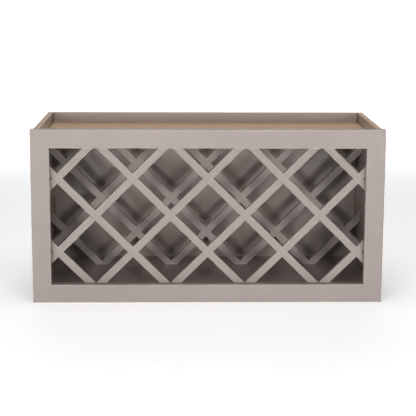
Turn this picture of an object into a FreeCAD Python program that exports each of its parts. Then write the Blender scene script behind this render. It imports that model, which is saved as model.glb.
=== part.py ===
import FreeCAD, Part
import math
import os
import Sketcher

# Wall wine rack: a face-framed cabinet that holds two half-lapped diagonal lattices
# Millimetres, +Z up, front towards -Y, origin at the middle of the base

# Driving dimensions
SIZES = {
    # Outside of the cabinet
    "cabinet_width": 762.0,
    "cabinet_height": 381.0,
    "cabinet_depth": 304.8,
    # Face frame: two stiles, and two rails tenoned into them
    "frame_thickness": 19.0,
    "stile_width": 40.0,
    "rail_width": 40.0,
    "tenon_length": 18.0,
    "tenon_thickness": 6.0,
    "tenon_shoulder": 6.0,
    "side_groove_depth": 6.0,
    "edge_ease": 0.8,
    # Carcass of plywood panels
    "side_overhang": 6.35,
    "side_thickness": 12.0,
    "shelf_thickness": 12.0,
    "back_thickness": 12.0,
    "top_recess": 22.0,
    "floor_height": 30.0,
    "dado_depth": 6.0,
    "rabbet_depth": 6.0,
    # Lattices: pitch between crossings of one row, spacing from front lattice to rear lattice
    "lattice_pitch": 163.2,
    "lattice_spacing": 197.0,
    "slat_width": 15.9,
    "slat_depth": 11.0,
    "slat_ease": 0.6,
    # Nails of the carcass
    "nail_diameter": 1.6,
    "nail_length": 32.0,
    "nail_head_diameter": 3.2,
    "nail_head_thickness": 0.8,
    "nail_end_margin": 45.0,
    # Play in housings, mortises, laps and nail holes, on each side
    "fit_clearance": 0.1,
}

NAIL_COUNT_ACROSS_BACK = 5
NAIL_COUNT_UP_BACK = 3
NAIL_COUNT_ALONG_SIDE = 3

# Places and sizes that several pieces share, as expressions over the driving dimensions
FRONT = "-Sizes.cabinet_depth / 2"
REAR = "Sizes.cabinet_depth / 2"
FRAME_REAR = "(Sizes.frame_thickness - Sizes.cabinet_depth / 2)"
BACK_FACE = "(Sizes.cabinet_depth / 2 - Sizes.back_thickness)"
SIDE_OUTER = "(Sizes.cabinet_width / 2 - Sizes.side_overhang)"
SIDE_INNER = "(Sizes.cabinet_width / 2 - Sizes.side_overhang - Sizes.side_thickness)"
CEILING = "(Sizes.cabinet_height - Sizes.top_recess - Sizes.shelf_thickness)"
FLOOR_UNDERSIDE = "(Sizes.floor_height - Sizes.shelf_thickness)"
MID_HEIGHT = "Sizes.cabinet_height / 2"
OPENING_WIDTH = "(Sizes.cabinet_width - 2 * Sizes.stile_width)"
TENON_HEIGHT = "(Sizes.rail_width - 2 * Sizes.tenon_shoulder)"
TENON_FRONT = "(Sizes.frame_thickness - Sizes.tenon_thickness) / 2"
LATTICE_FACES = {"front": FRAME_REAR, "rear": f"{FRAME_REAR} + Sizes.lattice_spacing"}

doc = FreeCAD.newDocument("WallWineRack")
sheet = doc.addObject("Spreadsheet::Sheet", "Sizes")
for row, (alias, size) in enumerate(SIZES.items(), 1):
    sheet.set(f"A{row}", alias)
    sheet.set(f"B{row}", str(size))
    sheet.setAlias(f"B{row}", alias)
doc.recompute()


def value(expression):
    """Number that an expression over the sheet comes to."""
    return float(sheet.evalExpression(expression))


def place(piece, x, y, z):
    """Tie a piece's place to three expressions."""
    for axis, expression in zip("xyz", (x, y, z)):
        piece.setExpression(f"Placement.Base.{axis}", expression)


def new_body(label, x, y, z):
    piece = doc.addObject("PartDesign::Body", label)
    piece.Label = label
    place(piece, x, y, z)
    return piece


def new_sketch(piece, name, role, right="0", up="0", out="0", turn=0.0):
    """Sketch on one of the body's own planes, shifted in the plane and along its normal, then turned."""
    drawing = piece.newObject("Sketcher::SketchObject", name)
    plane = next(feature for feature in piece.Origin.OriginFeatures if feature.Role == role)
    drawing.AttachmentSupport = [(plane, "")]
    drawing.MapMode = "FlatFace"
    turned = FreeCAD.Rotation(FreeCAD.Vector(0, 0, 1), turn)
    drawing.AttachmentOffset = FreeCAD.Placement(FreeCAD.Vector(), turned)
    for axis, expression in zip("xyz", (right, up, out)):
        drawing.setExpression(f"AttachmentOffset.Base.{axis}", expression)
    return drawing


def constrain(drawing, kind, start, end, expression):
    """Distance between two sketch points, each an edge and an end of it, that follows an expression."""
    number = drawing.addConstraint(Sketcher.Constraint(kind, *start, *end, value(expression)))
    drawing.setExpression(f"Constraints[{number}]", expression)


def closed_outline(drawing, points):
    """Straight edges through the points and back to the first, joined at their ends."""
    first = drawing.GeometryCount
    for start, end in zip(points, points[1:] + points[:1]):
        drawing.addGeometry(Part.LineSegment(FreeCAD.Vector(*start, 0), FreeCAD.Vector(*end, 0)))
    for step in range(len(points)):
        after = (step + 1) % len(points)
        drawing.addConstraint(Sketcher.Constraint("Coincident", first + step, 2, first + after, 1))
    return first


def rectangle(drawing, left, low, width, height):
    """Rectangle whose lower left corner, width and height follow expressions."""
    x0, y0 = value(left), value(low)
    x1, y1 = x0 + value(width), y0 + value(height)
    first = closed_outline(drawing, [(x0, y0), (x1, y0), (x1, y1), (x0, y1)])
    for step, way in enumerate(("Horizontal", "Vertical", "Horizontal", "Vertical")):
        drawing.addConstraint(Sketcher.Constraint(way, first + step))
    origin = (-1, 1)
    corner = (first, 1)
    constrain(drawing, "DistanceX", origin, corner, left)
    constrain(drawing, "DistanceY", origin, corner, low)
    constrain(drawing, "DistanceX", corner, (first, 2), width)
    constrain(drawing, "DistanceY", (first + 1, 1), (first + 1, 2), height)


def corner_triangle(drawing, x, y, leg):
    """Right triangle with legs towards -X and +Y from its corner, for a stopped chamfer."""
    corner_x, corner_y, size = value(x), value(y), value(leg)
    first = closed_outline(
        drawing, [(corner_x, corner_y), (corner_x, corner_y + size), (corner_x - size, corner_y)])
    drawing.addConstraint(Sketcher.Constraint("Vertical", first))
    drawing.addConstraint(Sketcher.Constraint("Horizontal", first + 2))
    constrain(drawing, "DistanceX", (-1, 1), (first, 1), x)
    constrain(drawing, "DistanceY", (-1, 1), (first, 1), y)
    constrain(drawing, "DistanceY", (first, 1), (first, 2), leg)
    constrain(drawing, "DistanceX", (first + 2, 1), (first + 2, 2), leg)


def add_feature(piece, kind, drawing, name, length, reverse=False):
    """Pad or Pocket of a sketch, to a length that follows an expression."""
    feature = piece.newObject(f"PartDesign::{kind}", name)
    feature.Profile = drawing
    feature.setExpression("Length", length)
    feature.Reversed = reverse
    return feature


def ease_edges(piece, base, name, size, chosen):
    """Small chamfer on the edges of a feature that the test picks."""
    doc.recompute()
    names = [f"Edge{number}" for number, edge in enumerate(base.Shape.Edges, 1) if chosen(edge)]
    feature = piece.newObject("PartDesign::Chamfer", name)
    feature.Base = (base, names)
    feature.setExpression("Size", size)
    return feature


def along(edge, direction):
    """Whether a straight edge runs along a direction."""
    run = edge.Vertexes[-1].Point - edge.Vertexes[0].Point
    return run.cross(direction).Length < 1e-6 * run.Length


def mirrored(label, source):
    """The right-hand twin of a left-hand piece, across the cabinet's middle plane."""
    twin = doc.addObject("Part::Mirroring", label)
    twin.Label = label
    twin.Source = source
    twin.Normal = FreeCAD.Vector(1, 0, 0)
    return twin


def without(label, piece, tool):
    """A piece with another shape cut out of it."""
    cut = doc.addObject("Part::Cut", label)
    cut.Label = label
    cut.Base = piece
    cut.Tool = tool
    return cut


# Face frame

def left_stile():
    """Upright with a mortise for each rail in its inner edge and a groove for the side panel behind."""
    piece = new_body("left_stile", "-Sizes.cabinet_width / 2", FRONT, "0")
    section = new_sketch(piece, "stile_section", "XY_Plane")
    rectangle(section, "0", "0", "Sizes.stile_width", "Sizes.frame_thickness")
    post = add_feature(piece, "Pad", section, "stile_post", "Sizes.cabinet_height")
    inner_edge = value("Sizes.stile_width")

    def outer_front(edge):
        on_front = all(abs(corner.Y) < 1e-6 for corner in edge.Vertexes)
        on_inner_edge = all(abs(corner.X - inner_edge) < 1e-6 for corner in edge.Vertexes)
        return on_front and not on_inner_edge

    ease_edges(piece, post, "stile_outer_ease", "Sizes.edge_ease", outer_front)
    inner_ease = new_sketch(piece, "stile_inner_ease_section", "XY_Plane", out="Sizes.rail_width")
    corner_triangle(inner_ease, "Sizes.stile_width", "0", "Sizes.edge_ease")
    opening_height = "Sizes.cabinet_height - 2 * Sizes.rail_width"
    add_feature(piece, "Pocket", inner_ease, "stile_inner_ease", opening_height, reverse=True)
    groove = new_sketch(piece, "side_groove_section", "XY_Plane")
    rectangle(
        groove,
        "Sizes.side_overhang - Sizes.fit_clearance",
        "Sizes.frame_thickness - Sizes.side_groove_depth",
        "Sizes.side_thickness + 2 * Sizes.fit_clearance",
        "Sizes.side_groove_depth")
    add_feature(piece, "Pocket", groove, "side_groove", "Sizes.cabinet_height", reverse=True)
    mortises = new_sketch(piece, "mortise_section", "YZ_Plane", out="Sizes.stile_width")
    for rail_foot in ("0", "Sizes.cabinet_height - Sizes.rail_width"):
        rectangle(
            mortises,
            f"{TENON_FRONT} - Sizes.fit_clearance",
            f"{rail_foot} + Sizes.tenon_shoulder - Sizes.fit_clearance",
            "Sizes.tenon_thickness + 2 * Sizes.fit_clearance",
            f"{TENON_HEIGHT} + 2 * Sizes.fit_clearance")
    add_feature(piece, "Pocket", mortises, "mortises", "Sizes.tenon_length + Sizes.fit_clearance")
    return piece


def rail(label, foot):
    """Cross member between the stiles, with a tenon at each end."""
    piece = new_body(label, f"-{OPENING_WIDTH} / 2", FRONT, foot)
    section = new_sketch(piece, f"{label}_section", "YZ_Plane")
    rectangle(section, "0", "0", "Sizes.frame_thickness", "Sizes.rail_width")
    bar = add_feature(piece, "Pad", section, f"{label}_bar", OPENING_WIDTH)
    lengthwise = FreeCAD.Vector(1, 0, 0)

    def front_long(edge):
        return along(edge, lengthwise) and abs(edge.Vertexes[0].Y) < 1e-6

    ease_edges(piece, bar, f"{label}_ease", "Sizes.edge_ease", front_long)
    tenons = new_sketch(piece, f"{label}_tenon_section", "YZ_Plane", out="-Sizes.tenon_length")
    rectangle(tenons, TENON_FRONT, "Sizes.tenon_shoulder", "Sizes.tenon_thickness", TENON_HEIGHT)
    add_feature(piece, "Pad", tenons, f"{label}_tenons", f"{OPENING_WIDTH} + 2 * Sizes.tenon_length")
    return piece


# Carcass

def left_side_panel():
    """Plywood side: front edge housed in the stile, dadoes for top and bottom, rabbet for the back."""
    front_edge = f"({FRAME_REAR} - Sizes.side_groove_depth + Sizes.fit_clearance)"
    depth = f"({REAR} - {front_edge})"
    piece = new_body("left_side_blank", f"-{SIDE_OUTER}", front_edge, "0")
    outline = new_sketch(piece, "side_outline", "YZ_Plane")
    rectangle(outline, "0", "0", depth, "Sizes.cabinet_height")
    add_feature(piece, "Pad", outline, "side_board", "Sizes.side_thickness")
    dadoes = new_sketch(piece, "dado_outline", "YZ_Plane", out="Sizes.side_thickness")
    for underside in (FLOOR_UNDERSIDE, CEILING):
        rectangle(dadoes, "0", underside, depth, "Sizes.shelf_thickness + Sizes.fit_clearance")
    add_feature(piece, "Pocket", dadoes, "dadoes", "Sizes.dado_depth")
    rabbet = new_sketch(piece, "rabbet_outline", "YZ_Plane", out="Sizes.side_thickness")
    rectangle(
        rabbet,
        f"{depth} - Sizes.back_thickness", "0",
        "Sizes.back_thickness", "Sizes.cabinet_height")
    add_feature(piece, "Pocket", rabbet, "back_rabbet", "Sizes.rabbet_depth")
    return piece


def shelf(label, underside):
    """Plywood top or bottom: ends housed in the side dadoes, front edge against the face frame."""
    half_width = f"({SIDE_INNER} + Sizes.dado_depth - Sizes.fit_clearance)"
    piece = new_body(label, f"-{half_width}", FRAME_REAR, underside)
    outline = new_sketch(piece, f"{label}_outline", "XY_Plane")
    rectangle(outline, "0", "0", f"2 * {half_width}", f"{BACK_FACE} - {FRAME_REAR}")
    add_feature(piece, "Pad", outline, f"{label}_board", "Sizes.shelf_thickness")
    return piece


def back_panel():
    """Plywood back in the rabbets of both sides, over the full height."""
    half_width = f"({SIDE_INNER} + Sizes.rabbet_depth - Sizes.fit_clearance)"
    piece = new_body("back_blank", f"-{half_width}", BACK_FACE, "0")
    outline = new_sketch(piece, "back_outline", "XZ_Plane")
    rectangle(outline, "0", "0", f"2 * {half_width}", "Sizes.cabinet_height")
    add_feature(piece, "Pad", outline, "back_board", "Sizes.back_thickness", reverse=True)
    return piece


# Lattices

def slat_offsets():
    """Mid-height crossings of one set of slats, in pitches from the middle of the cabinet."""
    pitch, inner, mid = value("Sizes.lattice_pitch"), value(SIDE_INNER), value(MID_HEIGHT)
    reach = min(value(CEILING) - mid, mid - value("Sizes.floor_height"))
    shortest = 2 * value("Sizes.slat_width")
    count = math.floor((inner + reach - shortest) / pitch + 0.5)
    return [step + 0.5 for step in range(-count, count)]


def lap_rows(slope, offset):
    """Rows of crossings, counted from mid height, that a slat meets inside the carcass."""
    pitch, inner, mid = value("Sizes.lattice_pitch"), value(SIDE_INNER), value(MID_HEIGHT)
    floor, ceiling = value("Sizes.floor_height"), value(CEILING)
    reach = value("Sizes.slat_width") / math.sqrt(2)
    most = math.ceil(value("Sizes.cabinet_height") / pitch) + 1
    rows = []
    for row in range(-most, most + 1):
        x = (offset + slope * row / 2) * pitch
        z = mid + row * pitch / 2
        if abs(x) < inner + reach and floor - reach < z < ceiling + reach:
            rows.append(row)
    return rows


def slat(label, face, slope, offset):
    """Diagonal slat cut to the carcass, half-lapped wherever the other set crosses it.

    A rising slat (slope 1) is lapped in its front half, a falling one (slope -1) in its rear half.
    """
    middle = f"({offset} * Sizes.lattice_pitch)"
    piece = new_body(label, middle, face, MID_HEIGHT)
    outline = new_sketch(piece, f"{label}_outline", "XZ_Plane", turn=45 * slope)
    length = "(sqrt(2) * Sizes.cabinet_height)"
    rectangle(outline, f"-{length} / 2", "-Sizes.slat_width / 2", length, "Sizes.slat_width")
    bar = add_feature(piece, "Pad", outline, f"{label}_bar", "Sizes.slat_depth", reverse=True)
    lengthwise = FreeCAD.Vector(1, 0, slope)
    ease_edges(piece, bar, f"{label}_ease", "Sizes.slat_ease", lambda edge: along(edge, lengthwise))
    ends = new_sketch(piece, f"{label}_ends_outline", "XZ_Plane", right=f"-{middle}", up=f"-{MID_HEIGHT}")
    rectangle(
        ends,
        f"-{SIDE_INNER}", "Sizes.floor_height",
        f"2 * {SIDE_INNER}", f"{CEILING} - Sizes.floor_height")
    rectangle(
        ends,
        "-Sizes.cabinet_width", "-Sizes.cabinet_height",
        "2 * Sizes.cabinet_width", "3 * Sizes.cabinet_height")
    add_feature(piece, "Pocket", ends, f"{label}_ends", "Sizes.slat_depth")
    rows = lap_rows(slope, offset)
    half_depth = "Sizes.slat_depth / 2"
    lap = new_sketch(
        piece, f"{label}_lap_outline", "XZ_Plane",
        right=f"{slope * rows[0]} * Sizes.lattice_pitch / 2",
        up=f"{rows[0]} * Sizes.lattice_pitch / 2",
        out="0" if slope > 0 else f"-{half_depth}",
        turn=-45 * slope)
    rectangle(
        lap,
        "-Sizes.slat_width", "-Sizes.slat_width / 2 - Sizes.fit_clearance",
        "2 * Sizes.slat_width", "Sizes.slat_width + 2 * Sizes.fit_clearance")
    first_lap = add_feature(piece, "Pocket", lap, f"{label}_lap", half_depth)
    laps = piece.newObject("PartDesign::LinearPattern", f"{label}_laps")
    laps.Originals = [first_lap]
    laps.Direction = (lap, ["V_Axis"])
    laps.setExpression("Length", f"{len(rows) - 1} * Sizes.lattice_pitch / sqrt(2)")
    laps.Occurrences = len(rows)
    piece.Tip = laps
    return piece


# Nails of the carcass

def spread(first, last, count):
    """Evenly spaced expressions from the first to the last."""
    return [f"({first} + {step} * ({last} - {first}) / {count - 1})" for step in range(count)]


def nail_places():
    """Head centre of each nail in the back and in the sides, with the turn that aims its shank."""
    shelf_middles = [f"({underside} + Sizes.shelf_thickness / 2)" for underside in (FLOOR_UNDERSIDE, CEILING)]
    margin = "Sizes.nail_end_margin"
    forward = FreeCAD.Rotation(FreeCAD.Vector(1, 0, 0), 90)
    back = []
    for height in shelf_middles:
        for x in spread(f"({margin} - {SIDE_INNER})", f"({SIDE_INNER} - {margin})", NAIL_COUNT_ACROSS_BACK):
            back.append((x, REAR, height, forward))
    edges = [f"{sign}({SIDE_INNER} + Sizes.rabbet_depth / 2)" for sign in ("-", "")]
    for x in edges:
        for height in spread(margin, f"(Sizes.cabinet_height - {margin})", NAIL_COUNT_UP_BACK):
            back.append((x, REAR, height, forward))
    sides = []
    for sign, turn in (("-", 90), ("", -90)):
        inward = FreeCAD.Rotation(FreeCAD.Vector(0, 1, 0), turn)
        for height in shelf_middles:
            for y in spread(f"({FRAME_REAR} + {margin})", f"({BACK_FACE} - {margin})", NAIL_COUNT_ALONG_SIDE):
                sides.append((f"{sign}{SIDE_OUTER}", y, height, inward))
    return back, sides


def nail(name, spot, play):
    """Flat-headed nail with its head flush at the spot, grown on every side by the play."""
    x, y, z, aim = spot
    parts = []
    for part, diameter, length in (
            ("shank", "Sizes.nail_diameter", "Sizes.nail_length"),
            ("head", "Sizes.nail_head_diameter", "Sizes.nail_head_thickness")):
        cylinder = doc.addObject("Part::Cylinder", f"{name}_{part}")
        cylinder.setExpression("Radius", f"{diameter} / 2 + {play}")
        cylinder.setExpression("Height", f"{length} + {play}")
        cylinder.Placement = FreeCAD.Placement(FreeCAD.Vector(), aim)
        place(cylinder, x, y, z)
        parts.append(cylinder)
    whole = doc.addObject("Part::Fuse", name)
    whole.Base, whole.Tool = parts
    return whole


def nail_group(label, spots, play="0"):
    group = doc.addObject("Part::Compound", label)
    group.Label = label
    group.Links = [nail(f"{label}_{number}", spot, play) for number, spot in enumerate(spots, 1)]
    return group


# Assembly

back_spots, side_spots = nail_places()
nail_holes = nail_group("nail_holes", back_spots + side_spots, "Sizes.fit_clearance")

stile = left_stile()
side = without("left_side_panel", left_side_panel(), nail_holes)
pieces = [
    stile,
    mirrored("right_stile", stile),
    rail("top_rail", "Sizes.cabinet_height - Sizes.rail_width"),
    rail("bottom_rail", "0"),
    side,
    mirrored("right_side_panel", side),
    without("top_panel", shelf("top_blank", CEILING), nail_holes),
    without("bottom_panel", shelf("bottom_blank", FLOOR_UNDERSIDE), nail_holes),
    without("back_panel", back_panel(), nail_holes),
    nail_group("back_panel_nails", back_spots),
    nail_group("side_panel_nails", side_spots),
]
for lattice, lattice_face in LATTICE_FACES.items():
    for set_name, set_slope in (("rising", 1), ("falling", -1)):
        for number, slat_offset in enumerate(slat_offsets(), 1):
            pieces.append(slat(f"{lattice}_{set_name}_slat_{number}", lattice_face, set_slope, slat_offset))
doc.recompute()

# Nothing is written unless every object and every shape came out whole
failed = [item.Name for item in doc.Objects if "Invalid" in item.State or "Error" in item.State]
broken = [piece.Label for piece in pieces if piece.Shape.isNull() or not piece.Shape.isValid()]
if failed or broken:
    raise RuntimeError(f"failed objects {failed}, broken shapes {broken}")

os.makedirs("parts", exist_ok=True)
for piece in pieces:
    piece.Shape.exportStep(os.path.join("parts", f"{piece.Label}.step"))
    print(f"{piece.Label}: {len(piece.Shape.Solids)} solids, {piece.Shape.Volume:.0f} cubic mm")
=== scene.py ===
import math
from collections import namedtuple

import bmesh
import bpy
from mathutils import Matrix, Vector


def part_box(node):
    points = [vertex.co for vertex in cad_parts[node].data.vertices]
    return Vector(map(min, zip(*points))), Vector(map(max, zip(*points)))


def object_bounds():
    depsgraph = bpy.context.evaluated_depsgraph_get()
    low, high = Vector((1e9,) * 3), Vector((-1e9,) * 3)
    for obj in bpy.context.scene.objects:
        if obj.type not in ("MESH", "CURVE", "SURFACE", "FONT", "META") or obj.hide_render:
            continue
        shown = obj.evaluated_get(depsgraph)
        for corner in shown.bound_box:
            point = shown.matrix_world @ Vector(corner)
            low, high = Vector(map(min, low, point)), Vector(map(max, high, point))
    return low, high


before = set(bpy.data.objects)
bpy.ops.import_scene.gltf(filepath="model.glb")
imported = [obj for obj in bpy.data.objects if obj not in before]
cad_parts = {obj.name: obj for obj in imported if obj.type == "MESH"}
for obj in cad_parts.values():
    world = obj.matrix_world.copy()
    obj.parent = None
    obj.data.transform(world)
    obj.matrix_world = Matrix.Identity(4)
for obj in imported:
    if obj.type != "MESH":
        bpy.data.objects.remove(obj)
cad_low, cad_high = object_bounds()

scene = bpy.context.scene
MM = 0.001

# Picture: the power that deepens the shown tones
PICTURE_CONTRAST = 1.2

# Camera: millimetres and degrees, fitted to the photograph's frame corners and lattice crossings
CAMERA_PLACE = (-56.5, -2607.4, 726.9)
CAMERA_YAW, CAMERA_PITCH, CAMERA_ROLL = 1.300, 9.813, -0.261

# Lens: focal length in pixels of the square photograph, and shift as a share of its width
CAMERA_FOCAL_PIXELS = 1162.4
CAMERA_SHIFT_DOWN = 0.10
IMAGE_PIXELS = 416
SENSOR_MM = 36.0

# Studio floor: its half width, and the distances between which its glow rises, in metres
FLOOR_HALF = 40.0
FLOOR_NEAR, FLOOR_FAR = 1.2, 3.2
FLOOR_GLOW_NEAR, FLOOR_GLOW_FAR = 0.30, 0.95

# Room: strength of the backdrop and of the dim rest
BACKDROP, ROOM = 1.05, 0.03

# Where the backdrop fades, as the part of a direction that points backwards, or up
BACKDROP_SIDES = (-0.5, -0.2)
BACKDROP_TOP = (0.20, 0.42)

# What the softboxes are aimed at, in metres
MIDDLE = (0.0, 0.0, 0.19)
FLOOR_BEHIND = (0.0, 1.2, 0.0)

# Places that the finishes are measured from, in metres
SIDE_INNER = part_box("right_side_panel")[0].x
BACK_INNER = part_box("back_panel")[0].y
OPENING_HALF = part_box("right_stile")[0].x
BOTTOM_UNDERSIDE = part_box("bottom_panel")[0].z
TOP_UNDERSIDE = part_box("top_panel")[0].z
TOP_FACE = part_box("top_panel")[1].z
FRAME_TOP = cad_high.z

# Plywood: its layers, and how far they wander either way as a share of one layer
PLIES = 5
PANEL_THICKNESS = TOP_FACE - TOP_UNDERSIDE
LAYER_WANDER = 0.175

# Dark lines, widths in metres: a dark joint with painted corner shade where two panels meet, and
# hairlines at the face frame's joints
CORNER_SHADE_WIDTH, JOINT_AND_CORNER_SHADE = 4.0 * MM, 0.75
HAIRLINE, HAIRLINE_SHADE = 0.6 * MM, 0.6

# Grain: changes of tone in a metre by axis, with the fibres level or upright
LEVEL_WOOD, UPRIGHT_WOOD = (6.0, 420.0, 420.0), (420.0, 420.0, 6.0)
LEVEL_PLY, UPRIGHT_PLY = (5.0, 320.0, 320.0), (320.0, 320.0, 5.0)
FIGURE, STREAKS, PORES = (1.6, 26.0, 26.0), (7.0, 330.0, 330.0), (45.0, 1500.0, 1500.0)

# Slats lie at half a right angle, rising or falling to the right
SLAT_TURN = math.radians(45)

# Parts of a direction between which a surface comes to look that way, or is a panel's edge instead
FACING = (0.4, 0.6)
EDGE = (0.7, 0.5)

# The same for an eased edge: where it leaves the side of a piece, and where it joins the front
EASED_SIDE = (0.3, 0.4)
EASED_FRONT = (0.92, 0.82)

# Roughness, from the smoothest places to the roughest
SATIN = (0.62, 0.76)
HARD_COAT = (0.04, 0.18)
VENEER_ROUGHNESS = (0.48, 0.68)
STEEL_ROUGHNESS = (0.28, 0.53)
RAW_ROUGHNESS = 0.72
FLOOR_ROUGHNESS = 0.75

# Depth of the surface texture in metres
PAINT_BUMP, PLY_BUMP, STEEL_BUMP, FLOOR_BUMP = 0.00012, 0.00008, 0.00006, 0.0001

# Shares of that depth for the paint's fine peel, the whole hard coat, wood pores and glue lines
PEEL_RELIEF, HARD_RELIEF, PORE_RELIEF, GLUE_RELIEF = 0.3, 0.2, 0.5, 0.48

# Painted light: its share on the frame's upper edge, and from foot to top of the well above the top
# panel
TOP_FACE_HIGHLIGHT = 0.55
WELL_HIGHLIGHT = (0.75, 1.0)

# The sides' share of the well's painted light, of which the back has all
SIDE_WELL_HIGHLIGHT = 0.3

# Colours, linear
FRAME_PAINT = {
    "light": (0.334, 0.293, 0.276, 1), "deep": (0.312, 0.273, 0.257, 1),
    "grain": (0.270, 0.234, 0.218, 1), "wear_and_highlight": (0.640, 0.580, 0.520, 1),
}
# The panels' paint: the frame's paint made lighter, painted light for the dim inside of the cabinet
LIT_PANEL_PAINT = {
    "light": (0.384, 0.335, 0.306, 1), "deep": (0.360, 0.313, 0.285, 1),
    "grain": (0.310, 0.267, 0.241, 1), "wear_and_highlight": (0.640, 0.580, 0.520, 1),
}
# A lighter tone that paints light onto the well's inner faces and the frame's top face
PAINTED_LIGHT_TONE = (0.500, 0.446, 0.412, 1)
VENEER_LIGHT = (0.560, 0.390, 0.245, 1)
VENEER_MID = (0.498, 0.341, 0.206, 1)
VENEER_DARK = (0.365, 0.236, 0.135, 1)
PORE_AND_SHADE = (0.200, 0.125, 0.075, 1)
PLY_LONG = (0.700, 0.538, 0.412, 1)
PLY_CROSS = (0.470, 0.320, 0.220, 1)
PLY_GLUE = (0.260, 0.170, 0.115, 1)
STEEL = (0.560, 0.560, 0.570, 1)
STEEL_DULL = (0.380, 0.370, 0.360, 1)
FLOOR_PALE = (0.90, 0.90, 0.90, 1)
FLOOR_PALER = (0.93, 0.93, 0.93, 1)
WHITE = (1, 1, 1, 1)

# What a surface shows, each a plain value or the socket of a node
Surface = namedtuple("Surface", "colour roughness height")


class Nodes:
    """A node tree being made, with short names for the nodes that it uses."""

    def __init__(self, tree):
        self.tree = tree

    def add(self, kind, **settings):
        made = self.tree.nodes.new(kind)
        for key, setting in settings.items():
            setattr(made, key, setting)
        return made

    def put(self, socket, value):
        """Links the value to the socket if it comes from a node, or else sets it there."""
        if isinstance(value, bpy.types.NodeSocket):
            self.tree.links.new(value, socket)
        else:
            socket.default_value = value

    def split(self, vector):
        made = self.add("ShaderNodeSeparateXYZ")
        self.put(made.inputs[0], vector)
        return made.outputs

    def math(self, operation, *values):
        made = self.add("ShaderNodeMath", operation=operation)
        for socket, value in zip(made.inputs, values):
            self.put(socket, value)
        return made.outputs[0]

    def plus(self, first, second):
        return self.math("ADD", first, second)

    def minus(self, first, second):
        return self.math("SUBTRACT", first, second)

    def times(self, first, second):
        return self.math("MULTIPLY", first, second)

    def size(self, value):
        return self.math("ABSOLUTE", value)

    def above(self, value, limit):
        return self.math("GREATER_THAN", value, limit)

    def ramp(self, value, off, on, start=0.0, end=1.0):
        """Smooth step from start, where the value is off, to end, where it is on."""
        made = self.add("ShaderNodeMapRange", interpolation_type="SMOOTHSTEP")
        for socket, setting in zip(made.inputs, (value, off, on, start, end)):
            self.put(socket, setting)
        return made.outputs[0]


class Finish(Nodes):
    """A node material being made, which knows where its surface is and which way it looks."""

    def __init__(self, name):
        self.material = bpy.data.materials.new(name)
        self.material.use_nodes = True
        super().__init__(self.material.node_tree)
        self.tree.nodes.clear()
        self.shader = self.add("ShaderNodeBsdfPrincipled")
        output = self.add("ShaderNodeOutputMaterial")
        self.put(output.inputs["Surface"], self.shader.outputs["BSDF"])
        self.position = self.add("ShaderNodeTexCoord").outputs["Object"]
        normal = self.add("ShaderNodeNewGeometry").outputs["True Normal"]
        self.x, self.y, self.z = self.split(self.position)
        self.normal_x, self.normal_y, self.normal_z = self.split(normal)

    def facing(self, direction, way):
        """1 where that part of the direction is positive, for a way of 1, or negative, for -1."""
        off, on = FACING
        return self.ramp(direction, off * way, on * way)

    def edge(self, direction):
        """1 on the edges of a panel whose two faces look along that part of the direction."""
        return self.ramp(self.size(direction), *EDGE)

    def stretched(self, scale, turn=0.0):
        """Position in axes turned about the depth axis, then scaled by axis."""
        made = self.add("ShaderNodeMapping", vector_type="TEXTURE")
        self.put(made.inputs["Vector"], self.position)
        self.put(made.inputs["Rotation"], (0.0, turn, 0.0))
        self.put(made.inputs["Scale"], [1 / s for s in scale])
        return made.outputs[0]

    def noise(self, scale=1.0, detail=2.0, roughness=0.5, distortion=0.0, vector=None):
        """Noise at the surface's own position, or at a stretched one."""
        made = self.add("ShaderNodeTexNoise")
        self.put(made.inputs["Vector"], vector or self.position)
        self.put(made.inputs["Scale"], scale)
        self.put(made.inputs["Detail"], detail)
        self.put(made.inputs["Roughness"], roughness)
        self.put(made.inputs["Distortion"], distortion)
        return made.outputs["Fac"]

    def blend(self, mask, first, second, share=1.0):
        """The first colour where the mask is 0, and that share of the second over it where it is 1."""
        factor = mask if share == 1.0 else self.times(mask, share)
        made = self.add("ShaderNodeMix", data_type="RGBA")
        for socket, value in zip(made.inputs[:1] + made.inputs[6:8], (factor, first, second)):
            self.put(socket, value)
        return made.outputs[2]

    def mix(self, mask, first, second):
        """The first number where the mask is 0, the second where it is 1."""
        made = self.add("ShaderNodeMix", data_type="FLOAT")
        for socket, value in zip(made.inputs[:1] + made.inputs[2:4], (mask, first, second)):
            self.put(socket, value)
        return made.outputs[0]

    def choose(self, mask, first, second):
        """The first surface where the mask is 0, the second where it is 1."""
        return Surface(
            self.blend(mask, first.colour, second.colour),
            self.mix(mask, first.roughness, second.roughness),
            self.mix(mask, first.height, second.height))

    def done(self, surface, depth):
        """The material with that surface, its texture as deep as depth in metres."""
        bump = self.add("ShaderNodeBump")
        self.put(bump.inputs["Strength"], 1.0)
        self.put(bump.inputs["Distance"], depth)
        self.put(bump.inputs["Height"], surface.height)
        self.put(self.shader.inputs["Normal"], bump.outputs[0])
        self.put(self.shader.inputs["Base Color"], surface.colour)
        self.put(self.shader.inputs["Roughness"], surface.roughness)
        return self.material


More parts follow.
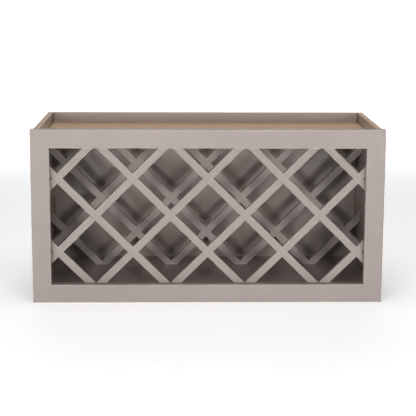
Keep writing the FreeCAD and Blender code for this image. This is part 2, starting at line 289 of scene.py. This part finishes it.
def paint(finish, tones, grain, turn=0.0, roughness=SATIN):
    """Enamel over wood: clouded, with the fibres showing through, and paler on eased edges, partly
    rubbed thin and partly a painted highlight.
    """
    cloud = finish.noise(scale=5.0, detail=3.0)
    colour = finish.blend(finish.ramp(cloud, off=0.3, on=0.7), tones["deep"], tones["light"])
    along = finish.stretched(grain, turn)
    fibres = finish.noise(detail=4.0, roughness=0.6, distortion=0.4, vector=along)
    colour = finish.blend(finish.ramp(fibres, off=0.48, on=0.72), colour, tones["grain"], share=0.22)
    slope = finish.size(finish.normal_y)
    eased = finish.times(finish.ramp(slope, *EASED_SIDE), finish.ramp(slope, *EASED_FRONT))
    patches = finish.ramp(finish.noise(scale=60.0, detail=3.0), off=0.35, on=0.6, start=0.25, end=0.9)
    # Paler eased edges: partly wear, partly a painted highlight
    colour = finish.blend(finish.times(eased, patches), colour, tones["wear_and_highlight"])
    smears = finish.noise(scale=35.0, detail=3.0)
    peel = finish.noise(scale=750.0)
    height = finish.mix(PEEL_RELIEF, fibres, peel)
    return Surface(colour, finish.mix(smears, *roughness), height)


def hard_coat(finish, grain):
    """Harder, flatter paint inside the cabinet, which mirrors the lattice a little."""
    coat = paint(finish, LIT_PANEL_PAINT, grain, roughness=HARD_COAT)
    return coat._replace(height=finish.times(coat.height, HARD_RELIEF))


def veneer(finish):
    """Clear wood face with its grain across the cabinet."""
    figure = finish.noise(detail=3.0, roughness=0.55, distortion=0.8, vector=finish.stretched(FIGURE))
    streaks = finish.noise(detail=4.0, roughness=0.65, distortion=0.2, vector=finish.stretched(STREAKS))
    pores = finish.noise(vector=finish.stretched(PORES))
    colour = finish.blend(finish.ramp(figure, off=0.32, on=0.68), VENEER_MID, VENEER_LIGHT)
    colour = finish.blend(finish.ramp(streaks, off=0.5, on=0.75), colour, VENEER_DARK, share=0.5)
    colour = finish.blend(finish.ramp(pores, off=0.60, on=0.75), colour, PORE_AND_SHADE, share=0.55)
    height = finish.minus(streaks, finish.times(pores, PORE_RELIEF))
    return Surface(colour, finish.mix(streaks, *VENEER_ROUGHNESS), height)


def ply_edge(finish, depth):
    """Raw plywood edge, its layers counted over the depth in metres from one face of the panel."""
    wander = finish.mix(finish.noise(scale=45.0), -LAYER_WANDER, LAYER_WANDER)
    layer = finish.plus(finish.times(depth, PLIES / PANEL_THICKNESS), wander)
    fibres = finish.noise(scale=260.0, detail=4.0, roughness=0.7)
    every_other = finish.math("PINGPONG", finish.math("FLOOR", layer), 1.0)
    cross = finish.times(every_other, finish.ramp(fibres, off=0.3, on=0.65, start=0.55))
    colour = finish.blend(cross, PLY_LONG, PLY_CROSS)
    glue = finish.ramp(finish.math("FRACT", layer), off=0.14, on=0.04)
    colour = finish.blend(glue, colour, PLY_GLUE, share=0.8)
    height = finish.minus(fibres, finish.times(glue, GLUE_RELIEF))
    return Surface(colour, RAW_ROUGHNESS, height)


def painted_well_light(finish, colour, inner, share=1.0):
    """Painted light on the inner faces above the top panel, stronger towards the top."""
    well_lift = finish.ramp(finish.z, TOP_FACE, FRAME_TOP, *WELL_HIGHLIGHT)
    well = finish.times(well_lift, finish.above(finish.z, TOP_UNDERSIDE))
    return finish.blend(finish.times(well, inner), colour, PAINTED_LIGHT_TONE, share)


def joint_and_corner_shade(finish, colour, place, joint):
    """A dark joint with painted corner shade where a face runs into the next panel, place and joint in
    metres.
    """
    return finish.blend(finish.ramp(place, joint - CORNER_SHADE_WIDTH, joint), colour, PORE_AND_SHADE, JOINT_AND_CORNER_SHADE)


def member_finish(name, tones, grain, turn=0.0):
    """Slat or nail head: plain satin paint."""
    finish = Finish(name)
    return finish.done(paint(finish, tones, grain, turn), PAINT_BUMP)


def frame_finish(name, grain):
    """Face frame: a painted highlight on its top face, and hairlines at the corner joints."""
    finish = Finish(name)
    coat = paint(finish, FRAME_PAINT, grain)
    # Painted highlight: the upward top face is blended towards the lighter tone
    highest = finish.above(finish.z, FRAME_TOP - HAIRLINE)
    upper = finish.times(finish.ramp(finish.normal_z, off=0.8, on=0.95), highest)
    colour = finish.blend(upper, coat.colour, PAINTED_LIGHT_TONE, TOP_FACE_HIGHLIGHT)
    off_joint = finish.size(finish.minus(finish.size(finish.x), OPENING_HALF))
    across = finish.ramp(finish.size(finish.normal_x), off=0.5, on=0.3)
    joint = finish.times(finish.ramp(off_joint, HAIRLINE, 0.0), across)
    colour = finish.blend(joint, colour, FRAME_PAINT["grain"], HAIRLINE_SHADE)
    height = finish.minus(coat.height, joint)
    return finish.done(Surface(colour, coat.roughness, height), PAINT_BUMP)


def side_panel_finish():
    """Side: satin paint outside, hard coat inside, layers on its edges."""
    finish = Finish("painted_side_ply")
    depth = finish.minus(finish.size(finish.x), SIDE_INNER)
    outward = finish.times(finish.normal_x, finish.math("SIGN", finish.x))
    inner = finish.facing(outward, -1)
    face = finish.choose(inner, paint(finish, LIT_PANEL_PAINT, UPRIGHT_PLY), hard_coat(finish, UPRIGHT_PLY))
    # Painted light on the inner face above the top panel
    colour = painted_well_light(finish, face.colour, inner, SIDE_WELL_HIGHLIGHT)
    # Dark joint and painted corner shade where the inner face meets the back
    colour = joint_and_corner_shade(finish, colour, finish.times(finish.y, inner), BACK_INNER)
    edge = finish.edge(finish.normal_x)
    surface = finish.choose(edge, face._replace(colour=colour), ply_edge(finish, depth))
    return finish.done(surface, PLY_BUMP)


def shelf_finish(name, underside, bare_way):
    """Top or bottom panel: hard coat towards the bottles, clear wood on the other side."""
    finish = Finish(name)
    depth = finish.minus(finish.z, underside)
    bare = finish.facing(finish.normal_z, bare_way)
    face = finish.choose(bare, hard_coat(finish, LEVEL_PLY), veneer(finish))
    surface = finish.choose(finish.edge(finish.normal_z), face, ply_edge(finish, depth))
    # Dark joint and painted corner shade where the panel meets the sides
    colour = joint_and_corner_shade(finish, surface.colour, finish.size(finish.x), SIDE_INNER)
    return finish.done(surface._replace(colour=colour), PLY_BUMP)


def back_panel_finish():
    """Back: hard coat towards the bottles, clear wood towards the wall."""
    finish = Finish("painted_back_ply")
    depth = finish.minus(finish.y, BACK_INNER)
    bare = finish.facing(finish.normal_y, 1)
    inner = finish.facing(finish.normal_y, -1)
    coat = hard_coat(finish, LEVEL_PLY)
    # Painted light on the front face above the top panel
    colour = painted_well_light(finish, coat.colour, inner)
    # Dark joint and painted corner shade where the front face meets the sides
    colour = joint_and_corner_shade(finish, colour, finish.times(finish.size(finish.x), inner), SIDE_INNER)
    face = finish.choose(bare, coat._replace(colour=colour), veneer(finish))
    surface = finish.choose(finish.edge(finish.normal_y), face, ply_edge(finish, depth))
    return finish.done(surface, PLY_BUMP)


def nail_finish():
    """Bright wire nails, dulled in places."""
    finish = Finish("nail_steel")
    tarnish = finish.ramp(finish.noise(scale=900.0, detail=3.0), off=0.35, on=0.7)
    colour = finish.blend(tarnish, STEEL, STEEL_DULL)
    roughness = finish.mix(tarnish, *STEEL_ROUGHNESS)
    finish.put(finish.shader.inputs["Metallic"], 1.0)
    return finish.done(Surface(colour, roughness, finish.noise(scale=1800.0)), STEEL_BUMP)


def floor_finish():
    """Pale floor that glows more with the distance from the cabinet, up to white."""
    finish = Finish("pale_floor")
    away = finish.add("ShaderNodeVectorMath", operation="LENGTH")
    finish.put(away.inputs[0], finish.position)
    glow = finish.ramp(away.outputs["Value"], FLOOR_NEAR, FLOOR_FAR, FLOOR_GLOW_NEAR, FLOOR_GLOW_FAR)
    finish.put(finish.shader.inputs["Emission Strength"], glow)
    mottle = finish.noise(scale=3.0, detail=3.0)
    colour = finish.blend(mottle, FLOOR_PALE, FLOOR_PALER)
    return finish.done(Surface(colour, FLOOR_ROUGHNESS, mottle), FLOOR_BUMP)


def dress(nodes):
    """Gives each node the first finish here whose key is in the node's name."""
    finishes = {
        "side_panel_nails": member_finish("painted_nail_head", LIT_PANEL_PAINT, UPRIGHT_PLY),
        "nails": nail_finish(),
        "stile": frame_finish("painted_stile", UPRIGHT_WOOD),
        "rail": frame_finish("painted_rail", LEVEL_WOOD),
        "rising": member_finish("painted_rising_slat", FRAME_PAINT, LEVEL_WOOD, -SLAT_TURN),
        "falling": member_finish("painted_falling_slat", FRAME_PAINT, LEVEL_WOOD, SLAT_TURN),
        "side_panel": side_panel_finish(),
        "top_panel": shelf_finish("veneer_top_ply", TOP_UNDERSIDE, bare_way=1),
        "bottom_panel": shelf_finish("painted_floor_ply", BOTTOM_UNDERSIDE, bare_way=-1),
        "back_panel": back_panel_finish(),
    }
    for name, piece in nodes.items():
        finish = next(made for key, made in finishes.items() if key in name)
        for slot in piece.material_slots:
            slot.material = finish


def make_floor():
    """A flat floor, far wider than the view."""
    mesh = bpy.data.meshes.new("floor")
    shape = bmesh.new()
    bmesh.ops.create_grid(shape, x_segments=1, y_segments=1, size=FLOOR_HALF)
    shape.to_mesh(mesh)
    shape.free()
    mesh.materials.append(floor_finish())
    floor = bpy.data.objects.new("floor", mesh)
    scene.collection.objects.link(floor)


def make_room():
    """A bright backdrop behind and beside the cabinet, in a dim room."""
    world = bpy.data.worlds.new("studio")
    scene.world = world
    world.use_nodes = True
    room = Nodes(world.node_tree)
    background = world.node_tree.nodes["Background"]
    room.put(background.inputs["Color"], WHITE)
    direction = room.split(room.add("ShaderNodeTexCoord").outputs["Generated"])
    low_down = room.ramp(direction["Y"], *BACKDROP_SIDES, ROOM, BACKDROP)
    room.put(background.inputs["Strength"], room.ramp(direction["Z"], *BACKDROP_TOP, low_down, ROOM))


def soft_light(name, place, size, watts, aim=MIDDLE):
    """A softbox, its place, size and aim in metres."""
    data = bpy.data.lights.new(name, "AREA")
    data.shape = "RECTANGLE"
    data.size, data.size_y = size
    data.energy = watts
    lamp = bpy.data.objects.new(name, data)
    lamp.location = place
    lamp.rotation_euler = (Vector(aim) - Vector(place)).to_track_quat("-Z", "Y").to_euler()
    scene.collection.objects.link(lamp)


def make_lights():
    """Two small softboxes in front, which cross the lattice's shadows, and large ones that fill."""
    soft_light("softbox_left", place=(-0.97, -2.41, 0.45), size=(0.5, 0.5), watts=26.0)
    soft_light("softbox_right", place=(0.97, -2.41, 0.45), size=(0.5, 0.5), watts=22.0)
    soft_light("softbox_high", place=(0.0, -2.4, 1.5), size=(2.3, 0.5), watts=10.5)
    soft_light("softbox_over", place=(0.0, -0.45, 2.6), size=(2.0, 1.6), watts=28.0)
    soft_light("softbox_back", place=(0.0, 2.4, 2.0), size=(3.0, 1.2), watts=26.0, aim=FLOOR_BEHIND)


def make_camera():
    """Camera that looks along +Y, turned right by its yaw, down by its pitch, clockwise by its roll."""
    yaw, pitch, roll = (math.radians(a) for a in (CAMERA_YAW, CAMERA_PITCH, CAMERA_ROLL))
    level = math.cos(pitch)
    forward = Vector((math.sin(yaw) * level, math.cos(yaw) * level, -math.sin(pitch)))
    level_right = Vector((math.cos(yaw), -math.sin(yaw), 0.0))
    level_down = forward.cross(level_right)
    right = level_right * math.cos(roll) + level_down * math.sin(roll)
    up = level_right * math.sin(roll) - level_down * math.cos(roll)
    data = bpy.data.cameras.new("camera")
    data.sensor_width = SENSOR_MM
    data.lens = CAMERA_FOCAL_PIXELS * SENSOR_MM / IMAGE_PIXELS
    data.shift_y = -CAMERA_SHIFT_DOWN
    camera = bpy.data.objects.new("camera", data)
    turned = Matrix((right, up, -forward)).transposed().to_4x4()
    camera.matrix_world = Matrix.Translation(Vector(CAMERA_PLACE) * MM) @ turned
    scene.collection.objects.link(camera)
    scene.camera = camera


scene.view_settings.view_transform = "Standard"
scene.view_settings.gamma = 1 / PICTURE_CONTRAST
dress(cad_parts)
make_floor()
make_room()
make_lights()
make_camera()
